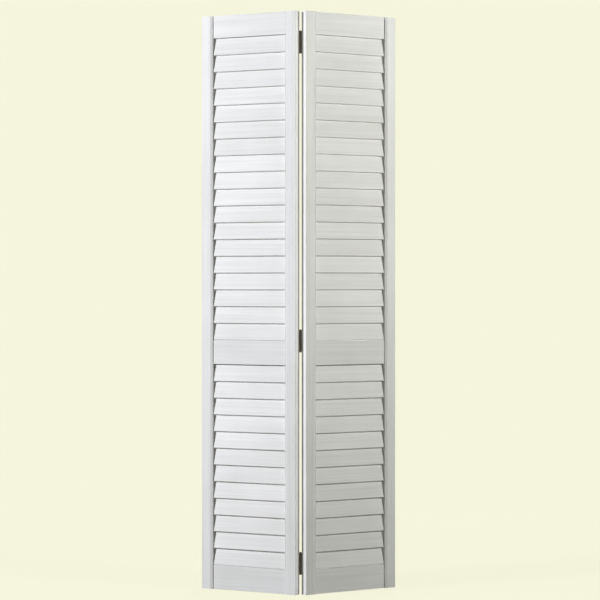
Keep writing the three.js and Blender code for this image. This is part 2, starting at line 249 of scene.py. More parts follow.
def rounded(corners, steps=4):
    """An outline from corners (across, up, radius), each turned into an arc."""
    outline = []
    for index, (across, up, radius) in enumerate(corners):
        here = Vector((across, up))
        if not radius:
            outline.append(here)
            continue
        before = (Vector(corners[index - 1][:2]) - here).normalized()
        after = (Vector(corners[(index + 1) % len(corners)][:2]) - here).normalized()
        half = before.angle(after) / 2
        centre = here + (before + after).normalized() * (radius / math.sin(half))
        first = here + before * (radius / math.tan(half)) - centre
        last = here + after * (radius / math.tan(half)) - centre
        start = math.atan2(first.y, first.x)
        sweep = (math.atan2(last.y, last.x) - start + math.pi) % (2 * math.pi) - math.pi
        outline += [centre + radius * Vector((math.cos(start + sweep * step / steps),
                                              math.sin(start + sweep * step / steps)))
                    for step in range(steps + 1)]
    return outline


def ring_faces(form, rings):
    """Faces between closed rings of points, with both ends capped."""
    rows = [[form.verts.new(point) for point in ring] for ring in rings]
    count = len(rows[0])
    for lower, upper in zip(rows, rows[1:]):
        for index in range(count):
            after = (index + 1) % count
            form.faces.new((lower[index], lower[after], upper[after], upper[index]))
    form.faces.new(rows[0])
    form.faces.new(rows[-1])


def drawn_out(form, outline, ends, place=lambda across, up, along: (across, up, along)):
    """The outline drawn out between two ends; place gives the point, in mm, of each corner."""
    ring_faces(form, [[Vector(place(across, up, end)) * MM for across, up in outline]
                      for end in ends])


def round_point(centre, radius, height, step, steps, upright=True):
    """A point of a circle about a line through centre, upright or square to the plate."""
    angle = 2 * math.pi * step / steps
    side, other = radius * math.cos(angle), radius * math.sin(angle)
    offset = (side, other, height) if upright else (side, height, other)
    return (Vector(centre) + Vector(offset)) * MM


def turned(form, profile, centre, upright=True, steps=ROUND_STEPS):
    """A profile of (radius, height) turned about a line through centre."""
    ring_faces(form, [[round_point(centre, radius, height, step, steps, upright)
                       for step in range(steps)] for radius, height in profile])


def new_tree(name, inputs):
    """A geometry tree with named inputs, and the sockets that bring them in."""
    tree = bpy.data.node_groups.new(name, "GeometryNodeTree")
    for label, kind in inputs.items():
        tree.interface.new_socket(label, in_out="INPUT", socket_type="NodeSocket" + kind)
    tree.interface.new_socket("Geometry", in_out="OUTPUT", socket_type="NodeSocketGeometry")
    return tree, tree.nodes.new("NodeGroupInput").outputs


def grown(tree, values):
    """The plain mesh that a tree makes from these inputs."""
    working = linked(bpy.data.meshes.new("grown"))
    modifier = working.modifiers.new("grown", "NODES")
    modifier.node_group = tree
    for item in tree.interface.items_tree:
        if item.in_out == "INPUT":
            modifier[item.identifier] = values[item.name]
    return evaluated(working)


def leaf_place(side):
    """From a leaf's own metres to the frame."""
    own = Matrix(((side, 0, 0, 0), (0, -1, 0, -CLOSET_FACE * MM), (0, 0, 1, 0), (0, 0, 0, 1)))
    return Matrix.Translation((0, FOLD_Y * MM, 0)) @ Matrix.Rotation(side * FOLD_HALF, 4, "Z") @ own


SHARP_EDGE = math.radians(38)


def piece(name, mesh, side, finish, slot, body, *nodes):
    """A finished piece: put in its place on the leaf, smoothed, and said to ride on its body. One
    that joins two bodies gives both, and the points where it leaves one and meets the other; these
    are not used, and such a piece is left on no body."""
    place = leaf_place(side)
    mesh.transform(place)
    if place.determinant() < 0:
        mesh.flip_normals()
    mesh.polygons.foreach_set("use_smooth", [True] * len(mesh.polygons))
    mesh.set_sharp_from_angle(angle=SHARP_EDGE)
    mesh = worked(mesh, ("WEIGHTED_NORMAL", {"keep_sharp": True}))
    mesh.name = name
    mesh.materials.clear()
    mesh.materials.append(finish)
    made = linked(mesh, name)
    if nodes:
        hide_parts(*nodes)
    if isinstance(body, tuple):
        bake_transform(made)
    else:
        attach(made, body)


# Finishes. Every colour is sRGB hex, turned to linear here.
def linear(colour):
    """Linear red, green, blue and alpha of an sRGB hex colour."""
    parts = [int(colour[start:start + 2], 16) / 255 for start in (1, 3, 5)]
    return [part / 12.92 if part <= 0.04045 else ((part + 0.055) / 1.055) ** 2.4
            for part in parts] + [1.0]


def new_finish(name, **settings):
    """A material with its node tree, its surface shader and its object coordinates."""
    finish = bpy.data.materials.new(name)
    finish.use_nodes = True
    tree = finish.node_tree
    shader = tree.nodes["Principled BSDF"]
    for label, value in settings.items():
        shader.inputs[label.replace("_", " ")].default_value = value
    return finish, tree, shader, tree.nodes.new("ShaderNodeTexCoord").outputs["Object"]


def per_metre(*spacing):
    """How often a pattern comes in a metre, for features this many millimetres apart."""
    return [1 / (each * MM) for each in spacing]


def dressed(finish, shader, colour, gloss, relief):
    """The finish, with its colour, roughness and bump fed by these sockets."""
    for label, socket in (("Base Color", colour), ("Roughness", gloss), ("Normal", relief)):
        finish.node_tree.links.new(socket, shader.inputs[label])
    return finish


PRIMER = "#f4f4f3"
PRIMER_SUNK = "#dfdfdc"
# The rings of such pine lie 2 to 4 mm apart; the streaks are drawn at 7 mm, so that they show.
STREAK_SPACING = 7.0
STREAK_LENGTH = 420.0
CLOUD_SPACING = 180.0
# The spray's own skin is about 0.8 mm from bump to bump; it is drawn at 2 mm, so that it shows.
SKIN_SPACING = 2.0


def primed_wood(name, side, lengthwise, piece_tone=False):
    """White primer sprayed on pine and rubbed down: satin, and the soft early wood still sinks a
    little, so that long faint streaks catch the light. The streaks lie along each stick. Slats have
    a tone each, and are rubbed down a little less than the frame."""
    finish, tree, shader, place = new_finish(name, IOR=1.5)
    spacing = ((STREAK_LENGTH, STREAK_SPACING, STREAK_SPACING) if lengthwise
               else (STREAK_SPACING, STREAK_SPACING, STREAK_LENGTH))
    along = add_node(tree, "ShaderNodeMapping", {
        "Vector": place, "Rotation": (0, 0, -side * FOLD_HALF)}, vector_type="POINT")
    stretched = add_node(tree, "ShaderNodeVectorMath", {
        0: along.outputs[0], 1: per_metre(*spacing)}, operation="MULTIPLY")
    grain = add_node(tree, "ShaderNodeTexNoise", {
        "Vector": stretched.outputs[0], "Scale": 1.0, "Detail": 3.0, "Roughness": 0.5})
    cloud = add_node(tree, "ShaderNodeTexNoise", {
        "Vector": along.outputs[0], "Scale": per_metre(CLOUD_SPACING)[0], "Detail": 2.0})
    skin = add_node(tree, "ShaderNodeTexNoise", {
        "Vector": along.outputs[0], "Scale": per_metre(SKIN_SPACING)[0], "Detail": 1.0})
    mixed = add_node(tree, "ShaderNodeMath", {
        0: grain.outputs[0], 1: 1.1, 2: cloud.outputs[0]}, operation="MULTIPLY_ADD")
    sunk, full, rough, smooth = 0.5, 1.6, 0.62, 0.48
    if piece_tone:
        sunk, full, rough, smooth = 0.65, 1.75, 0.66, 0.52
        tone = add_node(tree, "ShaderNodeAttribute", attribute_name="tone")
        mixed = add_node(tree, "ShaderNodeMath", {
            0: tone.outputs["Fac"], 1: 0.3, 2: mixed.outputs[0]}, operation="MULTIPLY_ADD")
    level = add_node(tree, "ShaderNodeMapRange", {
        "Value": mixed.outputs[0], "From Min": sunk, "From Max": full})
    colour = add_node(tree, "ShaderNodeMix", {
        0: level.outputs[0], 6: linear(PRIMER_SUNK), 7: linear(PRIMER)}, data_type="RGBA")
    gloss = add_node(tree, "ShaderNodeMapRange", {
        "Value": grain.outputs[0], "To Min": rough, "To Max": smooth})
    streaks = add_node(tree, "ShaderNodeBump", {
        "Height": grain.outputs[0], "Strength": 0.5, "Distance": 0.25 * MM})
    relief = add_node(tree, "ShaderNodeBump", {
        "Height": skin.outputs[0], "Strength": 0.25, "Distance": 0.04 * MM,
        "Normal": streaks.outputs[0]})
    return dressed(finish, shader, colour.outputs[2], gloss.outputs[0], relief.outputs[0])


# Handling scratches run upright, drawn about 0.7 mm apart and 14 mm long.
SCRATCH_SPACING = (0.7, 0.7, 14.0)


def plated_steel(name, plain, worn, rough, mottle, scratch_share):
    """Steel sheet or wire with a thin plating: a grey gloss that is mottled by the bath, and fine
    handling scratches that let the brighter metal through."""
    finish, tree, shader, place = new_finish(name, Metallic=1.0)
    patches = add_node(tree, "ShaderNodeTexNoise", {
        "Vector": place, "Scale": per_metre(mottle)[0], "Detail": 4.0})
    stretched = add_node(tree, "ShaderNodeVectorMath", {
        0: place, 1: per_metre(*SCRATCH_SPACING)}, operation="MULTIPLY")
    lines = add_node(tree, "ShaderNodeTexNoise", {
        "Vector": stretched.outputs[0], "Scale": 1.0, "Detail": 2.0})
    scratches = add_node(tree, "ShaderNodeMapRange", {
        "Value": lines.outputs[0], "From Min": 0.62, "From Max": 0.72, "To Max": scratch_share})
    tinted = add_node(tree, "ShaderNodeMix", {
        0: patches.outputs[0], 6: linear(plain[0]), 7: linear(plain[1])}, data_type="RGBA")
    colour = add_node(tree, "ShaderNodeMix", {
        0: scratches.outputs[0], 6: tinted.outputs[2], 7: linear(worn)}, data_type="RGBA")
    gloss = add_node(tree, "ShaderNodeMapRange", {
        "Value": patches.outputs[0], "To Min": rough - 0.08, "To Max": rough + 0.1})
    relief = add_node(tree, "ShaderNodeBump", {
        "Height": lines.outputs[0], "Strength": 0.2, "Distance": 0.02 * MM})
    return dressed(finish, shader, colour.outputs[2], gloss.outputs[0], relief.outputs[0])


# The mould's stipple is about 0.2 mm from bump to bump; it is drawn at 0.5 mm, so that it shows.
STIPPLE_SPACING = 0.5


def moulded_nylon():
    """Nylon from a spark-eroded mould: off-white, slightly milky, with an even fine stipple."""
    finish, tree, shader, place = new_finish(
        "moulded_nylon", IOR=1.53, Subsurface_Weight=0.15, Subsurface_Scale=0.6 * MM)
    stipple = add_node(tree, "ShaderNodeTexNoise", {
        "Vector": place, "Scale": per_metre(STIPPLE_SPACING)[0], "Detail": 2.0})
    colour = add_node(tree, "ShaderNodeMix", {
        0: stipple.outputs[0], 6: linear("#d3d2c8"), 7: linear("#e4e3dc")}, data_type="RGBA")
    gloss = add_node(tree, "ShaderNodeMapRange", {
        "Value": stipple.outputs[0], "To Min": 0.42, "To Max": 0.58})
    relief = add_node(tree, "ShaderNodeBump", {
        "Height": stipple.outputs[0], "Strength": 0.3, "Distance": 0.03 * MM})
    return dressed(finish, shader, colour.outputs[2], gloss.outputs[0], relief.outputs[0])


bronze_plate = plated_steel("bronze_plated_steel", ("#8e8773", "#a49d89"), "#bdb298",
                            rough=0.45, mottle=3.0, scratch_share=0.5)
zinc_plate = plated_steel("zinc_plated_steel", ("#a9acae", "#c3c5c4"), "#dcdcda",
                          rough=0.32, mottle=4.0, scratch_share=0.4)
spring_wire = plated_steel("drawn_spring_steel", ("#8d8e90", "#a3a4a4"), "#c4c4c2",
                           rough=0.3, mottle=2.0, scratch_share=0.4)
nylon = moulded_nylon()


# Slats: one rounded section drawn along the leaf, repeated up both openings.
slat_inputs = {
    "Width": "Float", "Thickness": "Float", "Rounding": "Float", "Start": "Float", "End": "Float",
    "Tilt": "Float", "Wobble": "Float", "Depth": "Float", "Pitch": "Float", "Lower count": "Int",
    "Lower height": "Float", "Upper count": "Int", "Upper height": "Float", "Seed": "Int",
    "Finish": "Material",
}


def slat_tree():
    """Slats, or the housings for them, as sticks along the leaf at an even pitch."""
    tree, given = new_tree("louvre_slats", slat_inputs)
    outline = add_node(tree, "GeometryNodeCurvePrimitiveQuadrilateral", {
        "Width": given["Width"], "Height": given["Thickness"]})
    section = add_node(tree, "GeometryNodeFilletCurve", {
        "Curve": outline.outputs[0], "Count": 4, "Radius": given["Rounding"]}, mode="POLY")
    first, last = (add_node(tree, "ShaderNodeCombineXYZ", {"X": given[end]}).outputs[0]
                   for end in ("Start", "End"))
    run = add_node(tree, "GeometryNodeCurvePrimitiveLine", {"Start": first, "End": last})
    stick = add_node(tree, "GeometryNodeCurveToMesh", {
        "Curve": run.outputs[0], "Profile Curve": section.outputs[0], "Fill Caps": True})
    step = add_node(tree, "ShaderNodeCombineXYZ", {"Z": given["Pitch"]})
    banks = add_node(tree, "GeometryNodeJoinGeometry")
    for bank in ("Upper", "Lower"):
        foot = add_node(tree, "ShaderNodeCombineXYZ", {
            "Y": given["Depth"], "Z": given[bank + " height"]})
        column = add_node(tree, "GeometryNodeMeshLine", {
            "Count": given[bank + " count"], "Start Location": foot.outputs[0],
            "Offset": step.outputs[0]})
        tree.links.new(column.outputs[0], banks.inputs[0])
    lowest = add_node(tree, "ShaderNodeMath", {0: given["Wobble"], 1: -1.0}, operation="MULTIPLY")
    play = add_node(tree, "FunctionNodeRandomValue", {
        2: lowest.outputs[0], 3: given["Wobble"], "Seed": given["Seed"]}, data_type="FLOAT")
    lean = add_node(tree, "ShaderNodeMath", {0: given["Tilt"], 1: play.outputs[1]})
    turn = add_node(tree, "ShaderNodeCombineXYZ", {"X": lean.outputs[0]})
    repeated = add_node(tree, "GeometryNodeInstanceOnPoints", {
        "Points": banks.outputs[0], "Instance": stick.outputs[0], "Rotation": turn.outputs[0]})
    tones = add_node(tree, "FunctionNodeRandomValue", {"Seed": given["Seed"]}, data_type="FLOAT")
    toned = add_node(tree, "GeometryNodeStoreNamedAttribute", {
        "Geometry": repeated.outputs[0], "Name": "tone", "Value": tones.outputs[1]},
        data_type="FLOAT", domain="INSTANCE")
    real = add_node(tree, "GeometryNodeRealizeInstances", {"Geometry": toned.outputs[0]})
    done = add_node(tree, "GeometryNodeSetMaterial", {
        "Geometry": real.outputs[0], "Material": given["Finish"]})
    add_node(tree, "NodeGroupOutput", {"Geometry": done.outputs[0]})
    return tree


def slats(tree, finish, seed, clearance=0.0, ends=SLAT_ENDS):
    """A leaf's thirty slats, or sticks a clearance thicker all round."""
    return grown(tree, {
        "Width": (SLAT_WIDTH + 2 * clearance) * MM,
        "Thickness": (SLAT_THICKNESS + 2 * clearance) * MM,
        "Rounding": (SLAT_EASE if clearance else SLAT_ROUNDING) * MM,
        "Start": ends[0] * MM, "End": ends[1] * MM, "Tilt": SLAT_TURN,
        "Wobble": 0.0 if clearance else SLAT_WOBBLE, "Depth": SLAT_DEPTH * MM,
        "Pitch": SLAT_PITCH * MM, "Lower count": LOWER_SLATS, "Lower height": LOWEST_SLAT * MM,
        "Upper count": UPPER_SLATS, "Upper height": LOWEST_UPPER_SLAT * MM, "Seed": seed,
        "Finish": finish})


# Stiles and rails.
def stile_mesh(tree, hinge_side, bores):
    """A stile with both arrises eased, a bevel towards the slats, its slat housings and its pin
    bores. On a hinge stile a quirk near the foot of the bevel draws a fine line."""
    quirk = ((QUIRK_FROM_EDGE + QUIRK_WIDTH, 0), (QUIRK_FROM_EDGE + QUIRK_WIDTH / 2, QUIRK_DEPTH),
             (QUIRK_FROM_EDGE, 0)) if hinge_side else ()
    half = [(0, 0, STILE_EASE), (STILE_WIDTH - BEVEL_WIDTH, 0, BEVEL_EASE)]
    half += [(STILE_WIDTH - from_edge, BEVEL_DEPTH * (1 - from_edge / BEVEL_WIDTH) + sunk, 0)
             for from_edge, sunk in quirk]
    half += [(STILE_WIDTH, BEVEL_DEPTH, BEVEL_EASE)]
    section = rounded(half + [(across, LEAF_THICKNESS - up, ease)
                              for across, up, ease in reversed(half)])
    edge, way, inner = (LEAF_START, 1, OPENING[0]) if hinge_side else (LEAF_END, -1, OPENING[1])
    form = bmesh.new()
    drawn_out(form, section, (0, DOOR_HEIGHT),
              lambda across, up, along: (edge + way * across, up, along))
    stile = mesh_of(form)
    deep = SLAT_HOUSING + FIT
    housings = slats(tree, None, 0, FIT, (inner - deep, inner + deep))
    stile = combined(stile, "DIFFERENCE", housings)
    if bores:
        form = bmesh.new()
        for profile in bores:
            turned(form, profile, (PIVOT_LINE, MID_DEPTH, 0))
        stile = combined(stile, "DIFFERENCE", mesh_of(form))
    return stile


def rail_mesh(base, height):
    """A rail with eased arrises, set back behind the bevels of the stiles. Its shoulders are eased
    too, so that a fine dark joint shows against the stile."""
    back, front = MID_DEPTH - RAIL_THICKNESS / 2, MID_DEPTH + RAIL_THICKNESS / 2
    section = rounded([(back, base, RAIL_EASE), (front, base, RAIL_EASE),
                       (front, base + height, RAIL_EASE), (back, base + height, RAIL_EASE)])
    middle = Vector((MID_DEPTH, base + height / 2))
    ends = ((OPENING[0] + JOINT, SHOULDER_EASE), (OPENING[0] + JOINT + SHOULDER_EASE, 0),
            (OPENING[1] - JOINT - SHOULDER_EASE, 0), (OPENING[1] - JOINT, SHOULDER_EASE))
    rings = []
    for end, drawn_in in ends:
        shrink = [1 - drawn_in / (size / 2) for size in (RAIL_THICKNESS, height)]
        corners = [middle + Vector((point - middle)[axis] * shrink[axis] for axis in (0, 1))
                   for point in section]
        rings.append([Vector((end, *corner)) * MM for corner in corners])
    form = bmesh.new()
    ring_faces(form, rings)
    return mesh_of(form)


# The bores run past the wood's ends, so that they open cleanly.
BORE_PAST_END = 2
plunger_bore = [
    (0, SLEEVE_ENDS[0] - FIT), (SLEEVE_RADIUS + FIT, SLEEVE_ENDS[0] - FIT),
    (SLEEVE_RADIUS + FIT, DOOR_HEIGHT + BORE_PAST_END), (0, DOOR_HEIGHT + BORE_PAST_END)]
stud_bore = [
    (0, -BORE_PAST_END), (STUD_SLEEVE_RADIUS + FIT, -BORE_PAST_END),
    (STUD_SLEEVE_RADIUS + FIT, STUD_SLEEVE_ENDS[1] + FIT),
    (STUD_RADIUS + FIT, STUD_SLEEVE_ENDS[1] + FIT), (STUD_RADIUS + FIT, STUD_ENDS[1] + FIT),
    (0, STUD_ENDS[1] + FIT)]

louvres = slat_tree()
for leaf, side in LEAVES.items():
    upright = primed_wood(leaf + "_primed_pine_upright", side, lengthwise=False)
    lengthwise = primed_wood(leaf + "_primed_pine_lengthwise", side, lengthwise=True)
    slat_wood = primed_wood(leaf + "_primed_pine_slats", side, lengthwise=True, piece_tone=True)
    outer = "pivot_leaf_jamb_stile" if side < 0 else "lead_leaf_lead_stile"
    bores = [plunger_bore, stud_bore] if side < 0 else [plunger_bore]
    piece(outer + "_wood", stile_mesh(louvres, False, bores), side, upright, "primed_wood",
          leaf, outer)
    piece(leaf + "_hinge_stile_wood", stile_mesh(louvres, True, ()), side, upright, "primed_wood",
          leaf, leaf + "_hinge_stile")
    for rail, (base, height) in RAILS.items():
        piece(f"{leaf}_{rail}_wood", rail_mesh(base, height), side, lengthwise, "primed_wood",
              leaf, f"{leaf}_{rail}")
    loose = [f"{leaf}_lower_slat_{number + 1:02d}" for number in range(LOWER_SLATS)]
    loose += [f"{leaf}_upper_slat_{number + 1:02d}" for number in range(LOOSE_UPPER)]
    piece(leaf + "_slats", slats(louvres, slat_wood, SLAT_SEED + side), side, slat_wood,
          "primed_wood", leaf, *loose)


# Hinges: plates with rolled knuckles, pins through them, and screws with crossed recesses.
def arc(radius, start, end):
    """Points along an arc about the pin, from one angle to another in degrees."""
    turns = [math.radians(start + (end - start) * step / ROLL_STEPS)
             for step in range(ROLL_STEPS + 1)]
    return [(radius * math.cos(turn), radius * math.sin(turn)) for turn in turns]


def knuckle_outline():
    """Sheet rolled round the pin, with the seam where its end comes back to the plate."""
    outer = arc(BARREL_RADIUS, ROLL_START, ROLL_END)
    inner = arc(PIN_RADIUS + FIT, ROLL_END, ROLL_SEAM)
    return [(across, -up - CLOSET_FACE) for across, up in (*outer, *inner, *ROLL_FOOT)]


def plate_mesh(middle, first):
    """A hinge plate with its own knuckles, cleared round the other plate's, and countersunk."""
    base = middle - HINGE_HEIGHT / 2
    top = base + HINGE_HEIGHT
    near, far = PLATE_ENDS
    flat = rounded([(near, base, 0), (far, base, PLATE_CORNER), (far, top, PLATE_CORNER),
                    (near, top, 0)])
    form = bmesh.new()
    drawn_out(form, flat, PLATE_FACES, lambda across, up, along: (across, along, up))
    sheet = mesh_of(form)
    rolls, gaps, sinks = bmesh.new(), bmesh.new(), bmesh.new()
    length = HINGE_HEIGHT / KNUCKLES
    for number in range(KNUCKLES):
        low, high = base + number * length, base + (number + 1) * length
        lowest, highest = number == 0, number == KNUCKLES - 1
        if number % 2 == first:
            ends = (low + FIT / 2 * (not lowest), high - FIT / 2 * (not highest))
            drawn_out(rolls, knuckle_outline(), ends)
        else:
            foot = low - FIT / 2 - KNUCKLE_PAST_END * lowest
            head = high + FIT / 2 + KNUCKLE_PAST_END * highest
            clear = BARREL_RADIUS + 2 * FIT
            turned(gaps, [(0, foot), (clear, foot), (clear, head), (0, head)],
                   (0, -CLOSET_FACE, 0))
    for row in (-1, 0, 1):
        stagger = SCREW_STAGGER / 2 if row == 0 else -SCREW_STAGGER / 2
        at = (SCREW_LINE + stagger, PLATE_FACES[0], middle + row * SCREW_SPREAD)
        wide = SCREW_HEAD + SINK_PLAY
        turned(sinks, [(0, -SCREW_DOME), (wide, -SCREW_DOME), (wide, 0.0),
                       (SCREW_SHANK + HOLE_PLAY, SCREW_SINK), (0, SCREW_SINK)], at, upright=False)
    for operation, form in (("DIFFERENCE", gaps), ("UNION", rolls), ("DIFFERENCE", sinks)):
        sheet = combined(sheet, operation, mesh_of(form))
    return worked(sheet, ("BEVEL", {
        "width": PLATE_EDGE * MM, "segments": 2, "limit_method": "ANGLE",
        "angle_limit": math.radians(50)}))


def pin_profile(middle):
    """A hinge pin with a low domed head at each end."""
    half = HINGE_HEIGHT / 2 + FIT
    head = [(0, 1), (0.6, 1), (0.92, 0.7), (1, 0.25), (1, 0)]
    foot = [(PIN_HEAD_RADIUS * share, middle - half - PIN_HEAD_RISE * up) for share, up in head]
    top = [(PIN_HEAD_RADIUS * share, middle + half + PIN_HEAD_RISE * up)
           for share, up in reversed(head)]
    return foot + [(PIN_RADIUS, middle - half), (PIN_RADIUS, middle + half)] + top


def screw_mesh():
    """A countersunk screw with a raised head and a crossed recess, its head up on the origin."""
    dome = [(SCREW_HEAD * math.cos(angle), SCREW_DOME * math.sin(angle))
            for angle in [math.pi / 2 * step / 5 for step in range(5)]]
    profile = [(0, -SCREW_LENGTH), (SCREW_SHANK, -SCREW_LENGTH + SCREW_POINT),
               (SCREW_SHANK, -SCREW_SINK), *dome, (0, SCREW_DOME)]
    form = bmesh.new()
    turned(form, profile, (0, 0, 0), steps=SMALL_ROUND_STEPS)
    screw = mesh_of(form)
    form = bmesh.new()
    for long, wide in ((RECESS_REACH, RECESS_HALF_WIDTH), (RECESS_HALF_WIDTH, RECESS_REACH)):
        drawn_out(form, [(-long, -wide), (long, -wide), (long, wide), (-long, wide)],
                  (-RECESS_DEPTH, 2 * SCREW_DOME))
    for corner in form.verts:
        if corner.co.z < 0:
            corner.co.xy *= RECESS_TAPER
    return combined(screw, "DIFFERENCE", mesh_of(form), use_self=True)


def screw_tree():
    """Three screws on each of three plates, the middle one set further out, each stopped at its
    own turn."""
    tree, given = new_tree("hinge_screws", {
        "Screw": "Object", "Line": "Float", "Face": "Float", "Spread": "Float", "Stagger": "Float",
        "Bottom": "Float", "Middle": "Float", "Top": "Float", "Seed": "Int", "Finish": "Material"})
    places = add_node(tree, "GeometryNodeJoinGeometry")
    step = add_node(tree, "ShaderNodeCombineXYZ", {"Z": given["Spread"]})
    for hinge in ("Top", "Middle", "Bottom"):
        low = add_node(tree, "ShaderNodeMath", {0: given[hinge], 1: given["Spread"]},
                       operation="SUBTRACT")
        start = add_node(tree, "ShaderNodeCombineXYZ", {
            "X": given["Line"], "Y": given["Face"], "Z": low.outputs[0]})
        row = add_node(tree, "GeometryNodeMeshLine", {
            "Count": 3, "Start Location": start.outputs[0], "Offset": step.outputs[0]})
        tree.links.new(row.outputs[0], places.inputs[0])
    index = add_node(tree, "GeometryNodeInputIndex")
    in_row = add_node(tree, "ShaderNodeMath", {0: index.outputs[0], 1: 3.0}, operation="MODULO")
    is_mid = add_node(tree, "ShaderNodeMath", {0: in_row.outputs[0], 1: 1.0, 2: 0.1},
                      operation="COMPARE")
    centred = add_node(tree, "ShaderNodeMath", {0: is_mid.outputs[0], 1: 0.5}, operation="SUBTRACT")
    out = add_node(tree, "ShaderNodeMath", {0: centred.outputs[0], 1: given["Stagger"]},
                   operation="MULTIPLY")
    offset = add_node(tree, "ShaderNodeCombineXYZ", {"X": out.outputs[0]})
    moved = add_node(tree, "GeometryNodeSetPosition", {
        "Geometry": places.outputs[0], "Offset": offset.outputs[0]})
    screw = add_node(tree, "GeometryNodeObjectInfo", {"Object": given["Screw"]})
    spins = add_node(tree, "FunctionNodeRandomValue", {
        2: 0.0, 3: math.pi / 2, "Seed": given["Seed"]}, data_type="FLOAT")
    spin = add_node(tree, "ShaderNodeCombineXYZ", {"Z": spins.outputs[1]})
    driven = add_node(tree, "GeometryNodeInstanceOnPoints", {
        "Points": moved.outputs[0], "Instance": screw.outputs["Geometry"],
        "Rotation": (math.pi / 2, 0, 0)})
    stopped = add_node(tree, "GeometryNodeRotateInstances", {
        "Instances": driven.outputs[0], "Rotation": spin.outputs[0], "Local Space": True})
    real = add_node(tree, "GeometryNodeRealizeInstances", {"Geometry": stopped.outputs[0]})
    done = add_node(tree, "GeometryNodeSetMaterial", {
        "Geometry": real.outputs[0], "Material": given["Finish"]})
    add_node(tree, "NodeGroupOutput", {"Geometry": done.outputs[0]})
    return tree


for name, middle in HINGES.items():
    for first, (leaf, side) in enumerate(LEAVES.items()):
        node = f"{name}_hinge_{leaf}_plate"
        piece(node + "_rolled", plate_mesh(middle, first), side, bronze_plate, "bronzed_steel",
              leaf, node)
    form = bmesh.new()
    turned(form, pin_profile(middle), (0, -CLOSET_FACE, 0), steps=SMALL_ROUND_STEPS)
    piece(name + "_hinge_pin_turned", mesh_of(form), LEAVES["pivot_leaf"], bronze_plate,
          "bronzed_steel", "pivot_leaf", name + "_hinge_pin")

screw_pattern = linked(screw_mesh(), "screw_pattern")
driven = screw_tree()
for leaf, side in LEAVES.items():
    screws = grown(driven, {
        "Screw": screw_pattern, "Line": SCREW_LINE * MM, "Face": PLATE_FACES[0] * MM,
        "Spread": SCREW_SPREAD * MM, "Stagger": SCREW_STAGGER * MM,
        "Bottom": HINGES["bottom"] * MM, "Middle": HINGES["middle"] * MM,
        "Top": HINGES["top"] * MM, "Seed": SCREW_SEED + side, "Finish": bronze_plate})
    piece(leaf + "_hinge_screws", screws, side, bronze_plate, "bronzed_steel", leaf)
bpy.data.objects.remove(screw_pattern)


# Pivots and track guide, on the line the leaves hang and run by.
def spring_tree():
    """Round wire wound into a spring, one turn over the other."""
    tree, given = new_tree("wound_spring", {
        "Radius": "Float", "Wire": "Float", "Height": "Float", "Turns": "Float", "Foot": "Vector",
        "Finish": "Material"})
    coil = add_node(tree, "GeometryNodeCurveSpiral", {
        "Resolution": 24, "Rotations": given["Turns"], "Start Radius": given["Radius"],
        "End Radius": given["Radius"], "Height": given["Height"]})
    wire = add_node(tree, "GeometryNodeCurvePrimitiveCircle", {
        "Resolution": 10, "Radius": given["Wire"]}, mode="RADIUS")
    swept = add_node(tree, "GeometryNodeCurveToMesh", {
        "Curve": coil.outputs[0], "Profile Curve": wire.outputs[0], "Fill Caps": True})
    seated = add_node(tree, "GeometryNodeTransform", {
        "Geometry": swept.outputs[0], "Translation": given["Foot"]})
    real = add_node(tree, "GeometryNodeRealizeInstances", {"Geometry": seated.outputs[0]})
    done = add_node(tree, "GeometryNodeSetMaterial", {
        "Geometry": real.outputs[0], "Material": given["Finish"]})
    add_node(tree, "NodeGroupOutput", {"Geometry": done.outputs[0]})
    return tree


def lathe(profile, round_by):
    """A turned piece on the pivot line, its corners softened."""
    form = bmesh.new()
    turned(form, profile, (PIVOT_LINE, MID_DEPTH, 0))
    return worked(mesh_of(form), ("BEVEL", {
        "width": round_by * MM, "segments": 2, "limit_method": "ANGLE",
        "angle_limit": math.radians(40)}))


def sleeve_profile():
    """A cup with a floor and a lip that the plunger's rod comes up through."""
    low, high = SLEEVE_ENDS
    lip = PLUNGER_RADIUS + FIT
    return [(0, low), (SLEEVE_RADIUS, low), (SLEEVE_RADIUS, high), (lip, high),
            (lip, high - SLEEVE_LIP), (SLEEVE_BORE, high - SLEEVE_LIP),
            (SLEEVE_BORE, low + SLEEVE_FLOOR), (0, low + SLEEVE_FLOOR)]


def plunger_profile():
    """A rod with a shoulder that rests on the spring and a domed tip."""
    low, high = PLUNGER_ENDS
    wide, tall = PLUNGER_SHOULDER
    dome = [(PLUNGER_RADIUS * math.cos(angle),
             high - PLUNGER_DOME + PLUNGER_DOME * math.sin(angle))
            for angle in [math.pi / 2 * step / 6 for step in range(6)]]
    return [(0, low), (wide, low), (wide, low + tall), (PLUNGER_RADIUS, low + tall), *dome,
            (0, high)]


